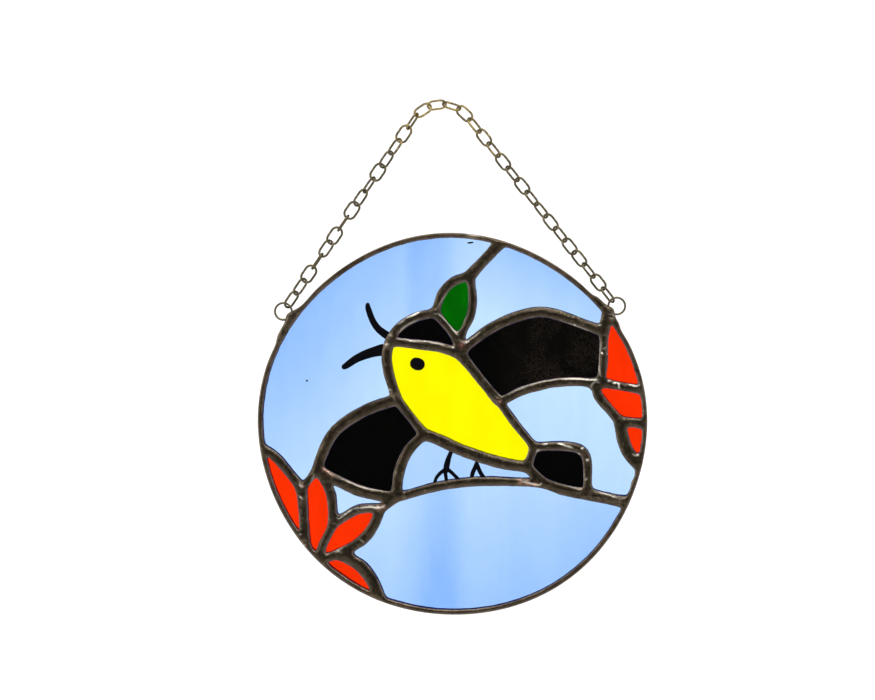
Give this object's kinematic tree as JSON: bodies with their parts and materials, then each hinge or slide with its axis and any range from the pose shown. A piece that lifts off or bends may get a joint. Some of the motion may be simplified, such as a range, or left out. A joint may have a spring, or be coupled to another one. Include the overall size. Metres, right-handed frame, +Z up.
{
  "type": "stained glass suncatcher",
  "caption": "Round leaded-glass suncatcher of a bird on a branch with petals and a leaf, in dark soldered seams, hung from a chain through rings on its rim.",
  "frame": {"origin": "the point it hangs from: the underside of the chain at the top of the hook or rod that holds it", "axes": "+Z up, +X to the right seen from the front, the front of the glass faces -Y"},
  "size_m": [0.1801, 0.0062, 0.238],
  "materials": {
    "sky_glass": "pale streaky blue see-through glass, smooth and glossy",
    "yellow_glass": "bright yellow glass, strongly coloured, glossy",
    "orange_glass": "orange-red glass, strongly coloured, glossy",
    "green_glass": "deep green streaky glass, glossy",
    "black_glass": "opaque black glass and black painted strokes, glossy",
    "solder": "dark brown-grey patina on rounded solder beads, worn lighter on their edges, a few coppery spots",
    "chain_metal": "antiqued dark wire, lighter where it is rubbed, slightly golden"
  },
  "bodies": {
    "root": {"sky_left": "sky_glass", "sky_top": "sky_glass", "sky_right": "sky_glass", "sky_under_belly": "sky_glass", "sky_bottom": "sky_glass", "sky_small": "sky_glass", "bird_cap": "black_glass", "bird_left_wing": "black_glass", "bird_right_wing": "black_glass", "bird_tail": "black_glass", "bird_body": "yellow_glass", "leaf": "green_glass", "petal_1": "orange_glass", "petal_2": "orange_glass", "petal_3": "orange_glass", "petal_4": "orange_glass", "petal_5": "orange_glass", "petal_6": "orange_glass", "petal_7": "orange_glass", "soldered_frame": "solder", "ring_left": "chain_metal", "ring_right": "chain_metal", "chain_link_01": "chain_metal", "chain_link_02": "chain_metal", "chain_link_03": "chain_metal", "chain_link_04": "chain_metal", "chain_link_05": "chain_metal", "chain_link_06": "chain_metal", "chain_link_07": "chain_metal", "chain_link_08": "chain_metal", "chain_link_09": "chain_metal", "chain_link_10": "chain_metal", "chain_link_11": "chain_metal", "chain_link_12": "chain_metal", "chain_link_13": "chain_metal", "chain_link_14": "chain_metal", "chain_link_15": "chain_metal", "chain_link_16": "chain_metal", "chain_link_17": "chain_metal", "chain_link_18": "chain_metal", "chain_link_19": "chain_metal", "chain_link_20": "chain_metal", "chain_link_21": "chain_metal", "chain_link_22": "chain_metal", "chain_link_23": "chain_metal", "chain_link_24": "chain_metal", "chain_link_25": "chain_metal", "chain_link_26": "chain_metal", "chain_link_27": "chain_metal", "chain_link_28": "chain_metal", "chain_link_29": "chain_metal", "chain_link_30": "chain_metal", "chain_link_31": "chain_metal", "chain_link_32": "chain_metal", "chain_link_33": "chain_metal", "chain_link_34": "chain_metal"}
  },
  "joints": []
}
